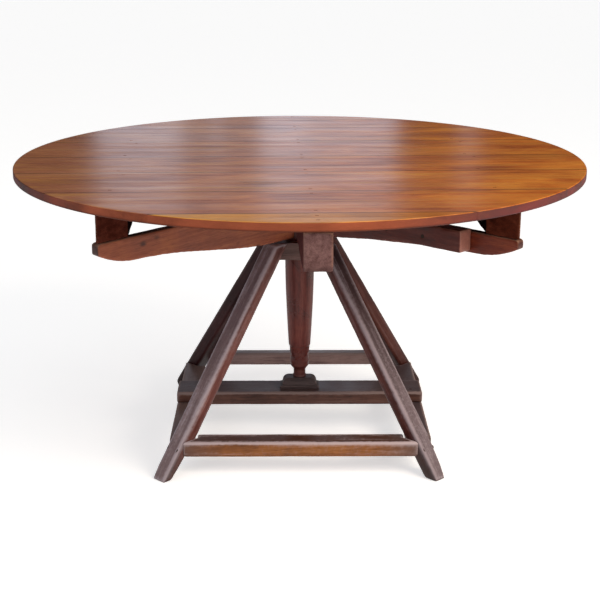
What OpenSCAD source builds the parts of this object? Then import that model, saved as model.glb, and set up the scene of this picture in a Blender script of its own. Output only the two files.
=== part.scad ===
// Round dining table whose plank top revolves on a turned column, over a splayed four-legged stand.
// The origin is on the floor under the column; +Z is up and -Y is the front.

/* [Top] */
// Diameter of the round top
top_d = 1500; // [1300:10:1700]
// Height of the top surface above the floor
table_h = 768; // [720:1:800]
// Thickness of the planks
plank_t = 22; // [16:1:32]
// Arris taken off the rim, above and below
rim_arris = 3; // [1:0.5:6]
// How far the top stands turned on its pivot
top_turn = 2; // [-45:0.5:45]

/* [Battens] */
// Width of the two side battens
side_batten_w = 70; // [50:1:90]
// Distance from the rim, beside the column, to the middle of a side batten
side_batten_in = 290; // [250:5:330]
// Width of the middle batten
mid_batten_w = 66; // [50:1:80]
// How far the middle batten lies off centre
mid_batten_shift = 7; // [0:1:12]
// Depth of a side batten between the bearers and the planks
batten_h = 81; // [60:1:100]
// How deep the middle batten is housed over the bearers
housing = 12; // [3:1:15]
// Gap left under the middle batten over the column and the stiffeners
housing_gap = 0.5; // [0.2:0.1:2]
// How far the middle batten stops short of the rim
mid_batten_setback = 8; // [2:1:40]
// Chamfer under the two ends of the middle batten
batten_nose = 11; // [4:1:20]

/* [Bearers] */
// Thickness of a cross bearer
bearer_t = 24; // [18:1:32]
// Depth of the long bearer at the column
long_deep = 107; // [95:1:120]
// Depth of the long bearer at the shoulder of its ends
long_end_h = 61; // [50:1:70]
// Depth of the short bearer at the column
short_deep = 80; // [70:1:90]
// Depth of the short bearer at the shoulder of its ends
short_end_h = 55; // [50:1:66]
// Straight stretch under a bearer beyond the column
waist_len = 60; // [30:5:120]
// Length of the rounded end of a bearer, from its shoulder
end_len = 116; // [80:1:160]
// Radius of the round under a bearer's end
end_round_r = 245; // [180:5:320]
// How far a bearer's end bulges past its top corner
end_nose = 6; // [2:1:12]

/* [Stiffeners] */
// Thickness of a stiffener
stiffener_t = 44; // [30:1:50]
// Gap between the column and a stiffener's inner end
stiffener_gap = 22; // [18:1:40]
// Distance from a stiffener's outer end to the side batten, along the bearer
stiffener_end_gap = 30; // [10:1:80]
// Height of a stiffener above the bearers, outside the middle batten
stiffener_step_h = 7; // [0:1:30]
// Depth of a stiffener below the bearer's top at its inner end
stiffener_deep = 80; // [60:1:90]
// Depth of a stiffener below the bearer's top at its outer end
stiffener_end_h = 48; // [30:1:60]
// Straight stretch under a stiffener's outer end
stiffener_flat = 110; // [60:5:160]
// Gap between a stiffener's step and the middle batten
stiffener_step_gap = 4; // [1:1:12]

/* [Column] */
// Diameter of the journal that turns in the head block
journal_d = 79; // [72:1:88]
// Diameter at the foot of the tapered shaft
shaft_foot_d = 60; // [54:1:66]
// Diameter of the bead under the shaft
bead_d = 53; // [46:1:60]
// How far the bead swells out of the column
bead_swell = 2; // [1:0.5:4]
// Diameter of the neck above the pivot
neck_d = 33; // [28:1:38]
// How far the shoulder under the neck stands out
shoulder_out = 1.5; // [1:0.5:5]
// Height of the shoulder that turns over the boss
shoulder_h = 7; // [2:1:9]
// Height of the neck, with its shoulder
neck_h = 20; // [12:1:30]
// Height of the cone between the neck and the bead
cone_h = 16; // [10:1:30]
// Height of the bead
bead_h = 22; // [8:1:26]
// Height of the hollow between the bead and the ring
hollow_h = 22; // [12:1:30]
// Height of the ring under the foot of the shaft
ring_h = 13; // [4:1:18]
// How far the ring stays inside the shaft's foot
ring_in = 1.5; // [0.5:0.5:3]
// How much the ring narrows down to its lower edge
ring_taper = 1.5; // [0.5:0.5:3]
// Diameter of the pivot that stands in the boss
pivot_d = 20; // [14:1:24]
// Length of the pivot below the neck
pivot_len = 40; // [30:1:50]

/* [Legs] */
// Distance from the column's axis to a leg's outer face at the floor
foot_r = 521; // [470:1:580]
// Distance from the column's axis to a leg's outer face at the head block's top
head_r = 113; // [106:1:120]
// Thickness of a leg, square to its outer face
leg_t = 39; // [32:1:45]
// Width of a leg's outer face
leg_w = 50; // [42:1:56]
// Arris worn off the long edges of a leg
leg_arris = 4; // [1:0.5:6]
// Wear off the toe of the front left foot
toe_wear_left = 1; // [1:1:30]
// Wear off the toe of the front right foot
toe_wear_right = 8; // [1:1:30]
// Wear off the toes of the two back feet
toe_wear_back = 28; // [1:1:32]

/* [Head block] */
// Width of the square head block
head_w = 134; // [124:1:144]
// Height of the head block
head_h = 48; // [36:1:60]
// Gap between the head block and the bearer that turns over it
head_gap = 5; // [2:1:12]

/* [Stretchers] */
// Height of the underside of the front and side stretchers
low_z = 53; // [46:1:80]
// Height of a front or side stretcher's section
low_h = 41; // [36:1:50]
// Depth of a front or side stretcher's section
low_d = 62; // [50:1:64]
// Height of the back stretcher's section
back_h = 37; // [34:1:45]
// Depth of the back stretcher's section
back_d = 37; // [30:1:50]
// How far the middle and back stretchers sink below the side stretchers' tops
lap = 6; // [2:1:12]
// Width of the middle stretcher
mid_w = 102; // [90:1:120]
// Height of the middle stretcher's section
mid_h = 37; // [30:1:45]
// How far the stretchers stand proud of the legs' corners
proud = 2; // [0:0.5:4]
// Arris worn off the long edges of a stretcher
rail_arris = 3; // [1:0.5:5]

/* [Pivot boss] */
// Width of the boss along the middle stretcher
boss_w = 108; // [100:1:130]
// Depth of the boss across the middle stretcher
boss_d = 52; // [48:1:70]
// Height of the boss
boss_h = 31; // [24:1:36]
// Height of the upright edge under the boss's moulding
boss_edge = 9; // [4:1:12]
// Width of the step at the foot of the moulding, at the boss's two ends
end_step = 6; // [3:0.5:9]
// Width of the moulding at the boss's two ends, with its step
end_mould = 24; // [14:1:28]
// Width of the step at the foot of the moulding, at the front and the back
side_step = 3; // [1:0.5:5]
// Width of the moulding at the front and the back, with its step
side_mould = 8; // [5:0.5:9]

/* [Joints] */
// Radial play of the column in its two bearings
play = 0.08; // [0.02:0.01:0.1]
// Gap under the neck, where it turns over the boss
turn_gap = 0.3; // [0.2:0.1:1]
// Glue gap round tenons, pegs and housings
glue = 0.1; // [0.05:0.05:0.3]
// Thickness of a stub tenon
tenon_t = 14; // [10:1:18]
// Height of a stub tenon
tenon_h = 26; // [18:1:28]
// Length of a stub tenon
tenon_len = 19; // [14:1:20]
// How far a stub tenon lies inside the middle of the leg
tenon_in = 4; // [0:1:8]
// How deep a stub tenon is rooted in its stretcher
tenon_root = 4; // [2:1:6]
// Diameter of the pegs in the stretcher and boss joints
rail_peg_d = 8; // [6:1:10]
// How far a stretcher peg goes past its tenon
peg_past = 2; // [1:0.5:4]
// Depth of a crossing peg in the side stretcher
crossing_bite = 24; // [12:1:30]
// Distance from the middle stretcher's edge to a crossing peg
crossing_in = 25; // [15:1:35]
// Diameter of the pegs that hold the legs to the head block
head_peg_d = 12; // [8:1:16]
// Wood left between a head peg and the column's journal
head_peg_wall = 16; // [10:1:30]
// Diameter of the pins that hold the bearers in the column
column_pin_d = 8; // [6:1:10]
// Distance from a bearer's face to the middle of a column pin
column_pin_in = 12; // [8:1:16]
// Height of a column pin above or below the middle of the short bearer
column_pin_step = 12; // [8:1:16]
// Diameter of the pegs that hold the battens to the bearers
batten_peg_d = 10; // [6:1:14]
// Depth of a batten peg in the bearer
batten_peg_bite = 32; // [20:1:34]
// Diameter of a stiffener nail
stiffener_nail_d = 5; // [3:0.5:7]
// Thickness of a stiffener nail's head
stiffener_head_t = 2; // [1:0.5:3]
// Depth of a stiffener nail in the bearer
stiffener_bite = 12; // [8:1:16]
// Width of a plank nail's head
nail_head = 8; // [6:0.5:10]
// Thickness of a plank nail's head
nail_head_t = 2.5; // [1.5:0.5:4]
// How deep a plank nail's head is sunk
nail_sink = 0.5; // [0.5:0.5:2]
// Thickness of a plank nail's shank
nail_shank = 4; // [3:0.5:5]
// Length of a plank nail
nail_len = 58; // [40:1:70]
// Distance from a plank's edge to its nails
nail_in = 26; // [15:1:35]

/* [Hidden] */

// Heights, from the top down
top_r = top_d / 2;
side_batten_x = top_r - side_batten_in;
plank_z = table_h - plank_t;
bearer_z = plank_z - batten_h;
housing_z = bearer_z - housing;
halving_z = bearer_z - short_deep / 2;
head_top = bearer_z - long_deep - head_gap;
head_z = head_top - head_h;
head_peg_z = head_z + head_h / 2;
// Heights of the stretchers and the boss, from the floor up
low_top = low_z + low_h;
mid_z = low_top - lap;
mid_top = mid_z + mid_h;
boss_top = mid_top + boss_h;
// Widths of the planks, front to back, as shares of the top's diameter
plank_share = [94, 236, 240, 217, 236, 232, 245];
plank_count = len(plank_share);
// Legs, from the front left one round to the right: their names, their angles and the wear of their toes
leg_names = ["leg_front_left", "leg_front_right", "leg_back_right", "leg_back_left"];
leg_angles = [225, 315, 45, 135];
toe_wears = [toe_wear_left, toe_wear_right, toe_wear_back, toe_wear_back];
// A leg leans from foot_r at the floor to head_r at the head block's top
lean = atan((foot_r - head_r) / head_top);
leg_depth = leg_t / cos(lean);
half_leg = leg_w / 2;
head_peg_start = journal_d / 2 + head_peg_wall;
peg_y = half_leg - tenon_len / 2;
// Longer than any piece, for cuts that go right through
far = 2 * top_d;
// Faces round a bearing, round a peg and along a curve
bearing_fn = 96;
peg_fn = 32;
rim_fn = 180;
wave_steps = 24;
curve_steps = 8;

// Distance from the axis to a leg's outer face, and to the middle of a tenon in it, at height z
function leg_out(z) = foot_r - z * tan(lean);
function tenon_r(z) = leg_out(z) - leg_depth / 2 - tenon_in;
// Distance from the axis to the outer face of a stretcher whose top is at height z
function rail_reach(z) = (leg_out(z) + half_leg) / sqrt(2) + proud;
// Height of the stretcher joint on a leg: side is 0 for its -Y side and 1 for its +Y side
function joint_z(i, side) =
    (i == 2 && side == 1) || (i == 3 && side == 0) ? mid_z + back_h / 2 : low_z + low_h / 2;
// A half cosine from a at s = 0 to b at s = 1
function ease(a, b, s) = b + (a - b) * (1 + cos(180 * s)) / 2;
// Front edge of plank i, counted from 0
function share_sum(n) = n == 0 ? 0 : plank_share[n - 1] + share_sum(n - 1);
function plank_y(i) = -top_r + top_d * share_sum(i) / share_sum(plank_count);
// The same points on the other side of the column, in reverse order
function flip(points) = [for (k = [len(points) - 1:-1:0]) [-points[k][0], points[k][1]]];

low_reach = rail_reach(low_top);
back_reach = rail_reach(mid_top);

// Timber section with its arrises taken off, centred
module worn_section(w, h, c) {
    polygon([[-w / 2 + c, -h / 2], [w / 2 - c, -h / 2], [w / 2, -h / 2 + c], [w / 2, h / 2 - c],
             [w / 2 - c, h / 2], [-w / 2 + c, h / 2], [-w / 2, h / 2 - c], [-w / 2, -h / 2 + c]]);
}

// Turns a piece with the revolving top
module turned() {
    rotate([0, 0, top_turn]) children();
}

// Leg's timber in its own frame, +X outwards, before its joints are cut; the toe is worn off
module leg_timber(wear) {
    difference() {
        intersection() {
            translate([foot_r, 0, 0]) rotate([0, -lean, 0]) translate([-leg_t / 2, 0, -leg_t])
                linear_extrude(table_h) worn_section(leg_t, leg_w, leg_arris);
            translate([0, -leg_w, 0]) cube([far, 2 * leg_w, head_top]);
        }
        translate([foot_r, leg_w, 0]) rotate([90, 0, 0]) linear_extrude(2 * leg_w)
            polygon([[-wear, 0], [-wear * sin(lean), wear * cos(lean)], [leg_t, wear], [leg_t, -leg_t],
                     [-wear, -leg_t]]);
    }
}

// Tenon of a stretcher in the leg's frame, with the hole of its peg: side is +1 or -1 along Y
module tenon(z, side) {
    difference() {
        translate([tenon_r(z), side * (half_leg + (tenon_root - tenon_len) / 2), z])
            cube([tenon_t, tenon_len + tenon_root, tenon_h], center = true);
        radial_peg(z, side * peg_y, rail_peg_d + 2 * glue, tenon_r(z) - tenon_t);
    }
}

module mortise(z, side) {
    translate([tenon_r(z), side * (half_leg + (glue - tenon_len) / 2), z])
        cube([tenon_t + 2 * glue, tenon_len + 3 * glue, tenon_h + 2 * glue], center = true);
}

// Peg driven inwards through a leg, as far as r_in from the column's axis
module radial_peg(z, y, d, r_in) {
    translate([r_in, y, z]) rotate([0, 90, 0]) cylinder(d = d, h = foot_r - r_in, $fn = peg_fn);
}

// The two pegs of leg i, through its tenons
module leg_pegs(i, slack) {
    for (side = [0, 1]) {
        z = joint_z(i, side);
        r_in = tenon_r(z) - tenon_t / 2 - peg_past - slack;
        radial_peg(z, (2 * side - 1) * peg_y, rail_peg_d + slack, r_in);
    }
}

module head_timber(slack) {
    translate([-head_w / 2 - slack, -head_w / 2 - slack, head_z - slack])
        cube([head_w + 2 * slack, head_w + 2 * slack, head_h + 2 * slack]);
}

// Leg i: notched over a corner of the head block, mortised and drilled
module leg(i) {
    color([0.36, 0.17, 0.12]) rotate([0, 0, leg_angles[i]]) difference() {
        leg_timber(toe_wears[i]);
        rotate([0, 0, -leg_angles[i]]) head_timber(glue);
        for (side = [0, 1]) mortise(joint_z(i, side), 2 * side - 1);
        leg_pegs(i, 2 * glue);
        radial_peg(head_peg_z, 0, head_peg_d + 2 * glue, head_peg_start);
    }
}

module stretcher_pegs() {
    color([0.55, 0.40, 0.28]) for (i = [0:3]) rotate([0, 0, leg_angles[i]]) intersection() {
        leg_pegs(i, 0);
        leg_timber(toe_wears[i]);
    }
}

module head_pegs() {
    color([0.55, 0.40, 0.28]) for (i = [0:3]) rotate([0, 0, leg_angles[i]]) intersection() {
        radial_peg(head_peg_z, 0, head_peg_d, head_peg_start + glue);
        union() {
            leg_timber(toe_wears[i]);
            rotate([0, 0, -leg_angles[i]]) head_timber(0);
        }
    }
}

module head_block() {
    color([0.38, 0.27, 0.22]) difference() {
        translate([0, 0, head_z]) linear_extrude(head_h) worn_section(head_w, head_w, leg_arris);
        translate([0, 0, head_z - head_h])
            cylinder(d = journal_d + 2 * play, h = 3 * head_h, $fn = bearing_fn);
        for (a = leg_angles) rotate([0, 0, a])
            radial_peg(head_peg_z, 0, head_peg_d + 2 * glue, head_peg_start);
    }
}

// Stretcher between two legs, made at the front and turned by a: its ends are mitred on the legs' sides
// and cut square behind them
module stretcher(a, reach, d, z, h) {
    mitre = reach - leg_w / sqrt(2);
    seat = min(d, max(leg_depth / sqrt(2) + proud, d - leg_w / sqrt(2)));
    right = concat([[mitre, -reach], [mitre - seat, seat - reach]],
                   seat < d ? [[mitre - seat, d - reach]] : []);
    rotate([0, 0, a]) union() {
        intersection() {
            linear_extrude(z + h) polygon(concat(right, flip(right)));
            translate([-reach, d / 2 - reach, z + h / 2]) rotate([90, 0, 90])
                linear_extrude(2 * reach) worn_section(d, h, rail_arris);
        }
        for (side = [-1, 1]) rotate([0, 0, 270 - side * 45]) tenon(z + h / 2, side);
    }
}

module stretcher_front() {
    color([0.52, 0.28, 0.17]) stretcher(0, low_reach, low_d, low_z, low_h);
}

// a is 90 at the right and 270 at the left
module side_stretcher(a) {
    color([0.36, 0.20, 0.15]) difference() {
        stretcher(a, low_reach, low_d, low_z, low_h);
        crossing_peg_set(2 * glue);
    }
}

module stretcher_back() {
    color([0.33, 0.22, 0.18]) stretcher(180, back_reach, back_d, mid_z, back_h);
}

// Flat board that lies over the side stretchers and carries the boss
module stretcher_middle() {
    color([0.34, 0.21, 0.17]) difference() {
        translate([-low_reach, 0, mid_z + mid_h / 2]) rotate([90, 0, 90])
            linear_extrude(2 * low_reach) worn_section(mid_w, mid_h, rail_arris);
        for (side = [-1, 1]) translate([side * crossing_x, 0, mid_z])
            cube([low_d + 2 * glue, far, 2 * lap], center = true);
        translate([0, 0, boss_top - pivot_len - turn_gap])
            cylinder(d = pivot_d + 2 * play, h = pivot_len, $fn = bearing_fn);
        crossing_peg_set(2 * glue);
        boss_peg_set(2 * glue);
    }
}

// Pegs down through the middle stretcher into the side ones, two at each crossing
crossing_x = low_reach - low_d / 2;
crossing_y = mid_w / 2 - crossing_in;

module crossing_peg_set(slack) {
    for (x = [-crossing_x, crossing_x], y = [-crossing_y, crossing_y])
        translate([x, y, low_top - crossing_bite - slack])
            cylinder(d = rail_peg_d + slack, h = crossing_bite + mid_h - lap + 2 * slack, $fn = peg_fn);
}

module crossing_pegs() {
    color([0.50, 0.36, 0.26]) crossing_peg_set(0);
}

// Blind pegs up through the middle stretcher into the edge of the boss
boss_peg_x = boss_w / 2 - end_step - rail_peg_d;
boss_peg_y = boss_d / 2 - side_step - rail_peg_d;

module boss_peg_set(slack) {
    for (x = [-boss_peg_x, boss_peg_x], y = [-boss_peg_y, boss_peg_y]) translate([x, y, mid_z - slack])
        cylinder(d = rail_peg_d + slack, h = mid_h + boss_edge + 2 * slack, $fn = peg_fn);
}

module boss_pegs() {
    color([0.50, 0.36, 0.26]) boss_peg_set(0);
}

// Side view of the boss: an upright edge, a step and a quarter round up to the flat top
module boss_outline(w, step, mould) {
    rise = boss_h - boss_edge;
    run = mould - step;
    round = [for (k = [0:curve_steps]) let (t = 90 * k / curve_steps)
        [w / 2 - step - run * (1 - cos(t)), boss_edge + rise * sin(t)]];
    right = concat([[w / 2, 0], [w / 2, boss_edge]], round);
    polygon(concat(right, flip(right)));
}

// Boss, moulded on all four sides, with the pivot's bearing in its middle
module pivot_boss() {
    color([0.24, 0.16, 0.14]) difference() {
        translate([0, 0, mid_top]) intersection() {
            translate([0, boss_d / 2, 0]) rotate([90, 0, 0]) linear_extrude(boss_d)
                boss_outline(boss_w, end_step, end_mould);
            translate([-boss_w / 2, 0, 0]) rotate([90, 0, 90]) linear_extrude(boss_w)
                boss_outline(boss_d, side_step, side_mould);
        }
        translate([0, 0, mid_z]) cylinder(d = pivot_d + 2 * play, h = 2 * boss_top, $fn = bearing_fn);
        boss_peg_set(2 * glue);
    }
}

// Turned profile of the column, as [radius, height] from the pivot's end up
neck_z = boss_top + turn_gap;
pivot_z = neck_z - pivot_len;
cone_z = neck_z + neck_h;
bead_z = cone_z + cone_h;
hollow_z = bead_z + bead_h;
ring_z = hollow_z + hollow_h;
shaft_z = ring_z + ring_h;
journal_z = head_z - head_gap;
column_top = housing_z - housing_gap;
bead_root = bead_d / 2 - bead_swell;
ring_top = shaft_foot_d / 2 - ring_in;
// Lip of the cone beyond the foot of the bead, and the column's small chamfers
cone_lip = 1;
column_arris = 1;
// The shaft swells like a quarter of a wave, from the ring up to the journal
column_profile = concat(
    [[0, pivot_z], [pivot_d / 2 - column_arris, pivot_z], [pivot_d / 2, pivot_z + column_arris],
     [pivot_d / 2, neck_z]],
    [[neck_d / 2 + shoulder_out, neck_z],
     [neck_d / 2 + shoulder_out, neck_z + shoulder_h - column_arris], [neck_d / 2, neck_z + shoulder_h]],
    [for (k = [0:curve_steps]) let (s = k / curve_steps)
        [ease(neck_d / 2, bead_root + cone_lip, s), cone_z + cone_h * s]],
    [for (k = [0:curve_steps]) let (s = k / curve_steps)
        [bead_root + bead_swell * sin(180 * s), bead_z + bead_h * s]],
    [for (k = [1:curve_steps]) let (s = k / curve_steps)
        [ease(bead_root, ring_top - ring_taper, s), hollow_z + hollow_h * s]],
    [[ring_top, shaft_z]],
    [for (k = [0:curve_steps]) let (s = k / curve_steps)
        [(shaft_foot_d + (journal_d - shaft_foot_d) * sin(90 * s)) / 2,
         shaft_z + (journal_z - shaft_z) * s]],
    [[journal_d / 2, column_top - column_arris], [journal_d / 2 - column_arris, column_top],
     [0, column_top]]);

// Column: its pivot stands in the boss, its journal turns in the head block and its top is slotted for
// the two bearers
module column() {
    color([0.36, 0.17, 0.12]) turned() difference() {
        rotate_extrude($fn = bearing_fn) polygon(column_profile);
        rotate([0, 0, 45]) {
            translate([-far / 2, -bearer_t / 2 - glue, bearer_z - long_deep - glue])
                cube([far, bearer_t + 2 * glue, far]);
            translate([-bearer_t / 2 - glue, -far / 2, bearer_z - short_deep - glue])
                cube([bearer_t + 2 * glue, far, far]);
            pin_set(column_pin_d + 2 * glue);
        }
    }
}

// Pins across the column's slots: two through the long bearer, below, and two through the short one
pin_off = bearer_t / 2 + column_pin_in;

module pin_set(d) {
    for (s = [-pin_off, pin_off]) {
        translate([s, journal_d / 2, halving_z - column_pin_step]) rotate([90, 0, 0])
            cylinder(d = d, h = journal_d, $fn = peg_fn);
        translate([-journal_d / 2, s, halving_z + column_pin_step]) rotate([0, 90, 0])
            cylinder(d = d, h = journal_d, $fn = peg_fn);
    }
}

module column_pins() {
    color([0.50, 0.36, 0.26]) turned() rotate([0, 0, 45]) intersection() {
        pin_set(column_pin_d);
        translate([0, 0, head_z]) cylinder(d = journal_d, h = table_h - head_z, $fn = bearing_fn);
    }
}

// Bearer: x is the distance from the column and y the height over the bearer's top
bearer_reach = sqrt(2) * (side_batten_x + side_batten_w / 2);
shoulder_x = bearer_reach - end_len;
waist_x = journal_d / 2 + waist_len;

module bearer_outline(deep, end_h) {
    wave = [for (k = [0:wave_steps]) let (s = k / wave_steps)
        [waist_x + (shoulder_x - waist_x) * s, -ease(deep, end_h, s)]];
    round = [for (k = [1:curve_steps]) let (x = (end_len + end_nose) * sin(90 * k / curve_steps))
        [shoulder_x + x, end_round_r - end_h - sqrt(pow(end_round_r, 2) - pow(x, 2))]];
    right = concat(wave, round, [[bearer_reach + end_nose, -end_nose], [bearer_reach, 0]]);
    polygon(concat(right, flip(right)));
}

// A bearer along X, before the halving is cut
module bearer_board(deep, end_h) {
    translate([0, bearer_t / 2, bearer_z]) rotate([90, 0, 0])
        linear_extrude(bearer_t) bearer_outline(deep, end_h);
}

// Runs from the front left to the back right; halved from above
module bearer_long() {
    color([0.60, 0.33, 0.22]) turned() difference() {
        rotate([0, 0, 45]) difference() {
            bearer_board(long_deep, long_end_h);
            translate([-bearer_t / 2 - glue, -far / 2, halving_z]) cube([bearer_t + 2 * glue, far, far]);
            pin_set(column_pin_d + 2 * glue);
        }
        batten_peg_set(2 * glue);
    }
}

// Runs from the front right to the back left; halved from below
module bearer_short() {
    color([0.50, 0.22, 0.14]) turned() difference() {
        rotate([0, 0, 135]) difference() {
            bearer_board(short_deep, short_end_h);
            translate([-bearer_t / 2 - glue, -far / 2, halving_z + glue - far])
                cube([bearer_t + 2 * glue, far, far]);
            rotate([0, 0, -90]) pin_set(column_pin_d + 2 * glue);
        }
        batten_peg_set(2 * glue);
        stiffener_nail_set(2 * glue);
    }
}

// Stiffener beside the short bearer: low under the middle batten, and raised from there outwards
stiffener_start = journal_d / 2 + stiffener_gap;
stiffener_reach = sqrt(2) * (side_batten_x - side_batten_w / 2) - stiffener_end_gap;
stiffener_step = sqrt(2) * (mid_batten_w / 2 + mid_batten_shift) + bearer_t / 2 + stiffener_t
    + stiffener_step_gap;
stiffener_low = housing + housing_gap;

module stiffener_outline() {
    run = stiffener_reach - stiffener_flat - stiffener_start;
    wave = [for (k = [0:wave_steps]) let (s = k / wave_steps)
        [stiffener_start + run * s, -ease(stiffener_deep, stiffener_end_h, s)]];
    polygon(concat(wave, [[stiffener_reach, -stiffener_end_h], [stiffener_reach, stiffener_step_h],
                          [stiffener_step, stiffener_step_h], [stiffener_step, -stiffener_low],
                          [stiffener_start, -stiffener_low]]));
}

// a is 0 for the front one and 180 for the back one
module stiffener(a) {
    color([0.46, 0.22, 0.16]) turned() rotate([0, 0, a]) difference() {
        rotate([0, 0, -45]) translate([0, -bearer_t / 2 - glue, bearer_z]) rotate([90, 0, 0])
            linear_extrude(stiffener_t) stiffener_outline();
        stiffener_nail_set(2 * glue);
    }
}

// Nails through a stiffener into the bearer, evenly spaced along its raised stretch
stiffener_nail_count = 3;
stiffener_nail_len = stiffener_t + glue + stiffener_bite;

module stiffener_nail_set(slack) {
    pitch = (stiffener_reach - stiffener_step) / (stiffener_nail_count + 1);
    for (a = [0, 180], k = [1:stiffener_nail_count]) rotate([0, 0, a - 45])
        translate([stiffener_step + pitch * k, -bearer_t / 2 - stiffener_t - glue - slack,
                   bearer_z - stiffener_end_h / 2]) rotate([-90, 0, 0]) {
            cylinder(d = stiffener_nail_d + slack, h = stiffener_nail_len + 2 * slack, $fn = peg_fn);
            cylinder(d = 2 * stiffener_nail_d + slack, h = stiffener_head_t + slack, $fn = peg_fn);
        }
}

module stiffener_nails() {
    color([0.30, 0.28, 0.27]) turned() stiffener_nail_set(0);
}

// Side batten: its ends are cut in line with the bearers' faces. side is -1 at the left and 1 at the right
module side_batten(side) {
    outer = side_batten_x + side_batten_w / 2;
    inner = side_batten_x - side_batten_w / 2;
    cut = bearer_t / sqrt(2);
    color([0.42, 0.22, 0.17]) turned() difference() {
        translate([0, 0, bearer_z]) linear_extrude(batten_h)
            polygon([[side * outer, -outer - cut], [side * inner, -inner - cut],
                     [side * inner, inner + cut], [side * outer, outer + cut]]);
        batten_peg_set(2 * glue);
        nail_set(2 * glue);
    }
}

// Middle batten: it runs almost to the rim and is housed over the crossing of the bearers
module batten_middle() {
    end = top_r - mid_batten_setback;
    right = [[end - batten_nose, housing_z], [end, housing_z + batten_nose], [end, plank_z]];
    color([0.50, 0.32, 0.28]) turned() difference() {
        translate([mid_batten_shift - mid_batten_w / 2, 0, 0]) rotate([90, 0, 90])
            linear_extrude(mid_batten_w) polygon(concat(right, flip(right)));
        for (a = [45, 135]) rotate([0, 0, a]) translate([-far / 2, -bearer_t / 2 - glue, bearer_z - far])
            cube([far, bearer_t + 2 * glue, far]);
        batten_peg_set(2 * glue);
        nail_set(2 * glue);
    }
}

// Pegs down through the battens into the bearers: one at each bearer's end and one at the crossing
module batten_peg_set(slack) {
    spots = [[0, 0], for (x = [-1, 1], y = [-1, 1]) [x * side_batten_x, y * side_batten_x]];
    for (p = spots) translate([p[0], p[1], bearer_z - batten_peg_bite - slack])
        cylinder(d = batten_peg_d + slack, h = batten_peg_bite + batten_h + 2 * slack, $fn = peg_fn);
}

module batten_pegs() {
    color([0.55, 0.40, 0.28]) turned() batten_peg_set(0);
}

// Nail hanging from the top surface; slack makes it the hole that it stands in
module nail(slack) {
    head = nail_head + slack;
    shank = nail_shank + slack;
    over = slack > 0 ? 2 * nail_sink : 0;
    translate([-head / 2, -shank / 2, -nail_sink - nail_head_t]) cube([head, shank, nail_head_t + over]);
    translate([-shank / 2, -shank / 2, -nail_len - slack])
        cube([shank, shank, nail_len + slack - nail_sink - nail_head_t / 2]);
}

// Nails down through the planks: two where a plank crosses the middle batten, and two where it crosses a
// side batten that runs on under both of them
side_nail_limit = side_batten_x - side_batten_w / 2 - nail_in;

module nail_set(slack) {
    for (i = [0:plank_count - 1], k = [0, 1]) {
        y = k == 0 ? plank_y(i) + nail_in : plank_y(i + 1) - nail_in;
        translate([mid_batten_shift, y, table_h]) nail(slack);
        if (abs(y) < side_nail_limit) for (x = [-side_batten_x, side_batten_x])
            translate([x + (k - 0.5) * side_batten_w / 4, y, table_h]) nail(slack);
    }
}

module plank_nails() {
    color([0.22, 0.18, 0.16]) turned() nail_set(0);
}

// The whole round top, with its arrises, before it is parted into planks
module disc() {
    rotate_extrude($fn = rim_fn)
        polygon([[0, plank_z], [top_r - rim_arris, plank_z], [top_r, plank_z + rim_arris],
                 [top_r, table_h - rim_arris], [top_r - rim_arris, table_h], [0, table_h]]);
}

module plank(i) {
    color([0.66 - 0.03 * (i % 2), 0.38 - 0.02 * (i % 2), 0.22]) turned() difference() {
        intersection() {
            disc();
            translate([-far / 2, plank_y(i), 0]) cube([far, plank_y(i + 1) - plank_y(i), far]);
        }
        nail_set(2 * glue);
    }
}

for (i = [0:3]) leg(i);
stretcher_front();
side_stretcher(90);  // stretcher_right
stretcher_back();
side_stretcher(270);  // stretcher_left
stretcher_middle();
head_block();
pivot_boss();
head_pegs();
stretcher_pegs();
crossing_pegs();
boss_pegs();
column();
bearer_long();
bearer_short();
column_pins();
stiffener(0);  // stiffener_front
stiffener(180);  // stiffener_back
stiffener_nails();
side_batten(-1);  // batten_left
batten_middle();
side_batten(1);  // batten_right
batten_pegs();
for (i = [0:plank_count - 1]) plank(i);
plank_nails();
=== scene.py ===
from contextlib import contextmanager
from math import atan2, cos, pi, radians, sin

import bmesh
import bpy
import numpy as np
from mathutils import Euler, Matrix, Vector


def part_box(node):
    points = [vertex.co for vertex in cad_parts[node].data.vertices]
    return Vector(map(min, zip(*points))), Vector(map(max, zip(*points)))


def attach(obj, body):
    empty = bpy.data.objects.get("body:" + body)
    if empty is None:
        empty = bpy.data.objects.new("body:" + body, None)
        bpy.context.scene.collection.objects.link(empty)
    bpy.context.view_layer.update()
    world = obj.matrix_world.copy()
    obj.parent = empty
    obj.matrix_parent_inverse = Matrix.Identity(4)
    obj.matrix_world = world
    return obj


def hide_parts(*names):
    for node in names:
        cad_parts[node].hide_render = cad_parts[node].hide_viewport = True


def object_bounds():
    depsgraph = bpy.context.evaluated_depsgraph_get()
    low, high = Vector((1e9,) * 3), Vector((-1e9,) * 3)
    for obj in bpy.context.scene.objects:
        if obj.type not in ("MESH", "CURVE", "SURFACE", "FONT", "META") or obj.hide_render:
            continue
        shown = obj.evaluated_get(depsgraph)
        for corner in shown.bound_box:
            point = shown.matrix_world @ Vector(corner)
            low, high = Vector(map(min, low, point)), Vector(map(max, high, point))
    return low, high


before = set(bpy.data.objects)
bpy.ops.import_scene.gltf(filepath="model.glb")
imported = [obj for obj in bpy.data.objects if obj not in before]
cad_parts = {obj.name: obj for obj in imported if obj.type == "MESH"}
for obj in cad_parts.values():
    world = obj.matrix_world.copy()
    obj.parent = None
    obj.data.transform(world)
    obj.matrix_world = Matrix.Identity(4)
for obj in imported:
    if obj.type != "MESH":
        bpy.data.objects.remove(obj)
cad_low, cad_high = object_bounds()
bpy.ops.object.select_all(action="DESELECT")
bpy.context.scene.view_settings.view_transform = "Standard"

MM = 0.001

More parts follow.
